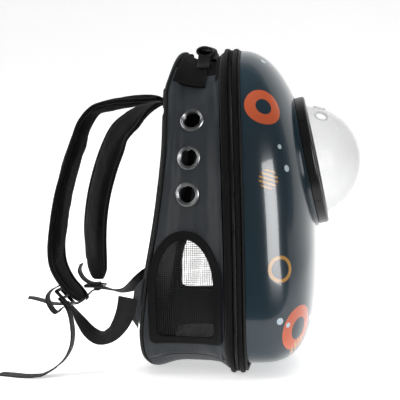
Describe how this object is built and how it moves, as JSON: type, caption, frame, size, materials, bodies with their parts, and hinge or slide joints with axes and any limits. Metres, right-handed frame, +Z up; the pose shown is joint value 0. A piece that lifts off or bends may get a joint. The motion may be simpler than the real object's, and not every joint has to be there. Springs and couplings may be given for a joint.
{
  "type": "bubble pet carrier backpack",
  "caption": "Pet carrier backpack with a hard front shell, a clear bubble window, a zip band, mesh side windows, eyelets and padded shoulder straps.",
  "frame": {"origin": "on the floor under the zip band's rear flap, on the middle plane", "axes": "+X out of the shell's front, -Y to the wearer's left, +Z up; the carrier stands upright"},
  "size_m": [0.4716, 0.3226, 0.4212],
  "materials": {
    "shell_plastic": null,
    "clear_dome": "clear moulded acrylic",
    "black_plastic": "satin black moulded plastic",
    "piping": "corded piping in black tape",
    "webbing": "black woven webbing and binding tape",
    "zip": "black coil zip",
    "zip_metal": "black enamelled zip slider",
    "black_nylon": "black nylon, fine plain weave",
    "navy_nylon": "navy black nylon, fine plain weave",
    "chrome": "nickel plated eyelets",
    "net": "black square net",
    "fleece": "grey fleece"
  },
  "bodies": {
    "carrier": {"shell": "shell_plastic", "front_piping": "piping", "zip_flap_front": "webbing", "zip_coil": "zip", "zip_flap_rear": "webbing", "rear_piping": "piping", "zip_slider_1": "zip_metal", "zip_slider_2": "zip_metal", "top_panel": "black_nylon", "bottom_panel": "navy_nylon", "back_panel": "black_nylon", "back_piping": "piping", "carry_handle": "webbing", "strap_yoke": "black_nylon", "floor_mat": "fleece", "side_panel_left": "navy_nylon", "eyelet_left_1": "chrome", "eyelet_left_2": "chrome", "eyelet_left_3": "chrome", "window_binding_left": "webbing", "window_mesh_left": "net", "handle_patch_left": "black_nylon", "shoulder_pad_left": "black_nylon", "buckle_loop_left": "webbing", "adjuster_left": "black_plastic", "lower_webbing_left": "webbing", "webbing_tail_left": "webbing", "tab_left": "navy_nylon", "side_panel_right": "navy_nylon", "eyelet_right_1": "chrome", "eyelet_right_2": "chrome", "eyelet_right_3": "chrome", "window_binding_right": "webbing", "window_mesh_right": "net", "handle_patch_right": "black_nylon", "shoulder_pad_right": "black_nylon", "buckle_loop_right": "webbing", "adjuster_right": "black_plastic", "lower_webbing_right": "webbing", "webbing_tail_right": "webbing", "tab_right": "navy_nylon"},
    "bubble": {"dome": "clear_dome", "bubble_ring": "black_plastic"}
  },
  "joints": [
    {"name": "bubble_twist", "type": "hinge", "parent": "carrier", "child": "bubble", "pos_m": [0.09635, 0, 0.2713], "axis": [-0.9792, 0, -0.2028], "range_deg": [0, 24]}
  ]
}
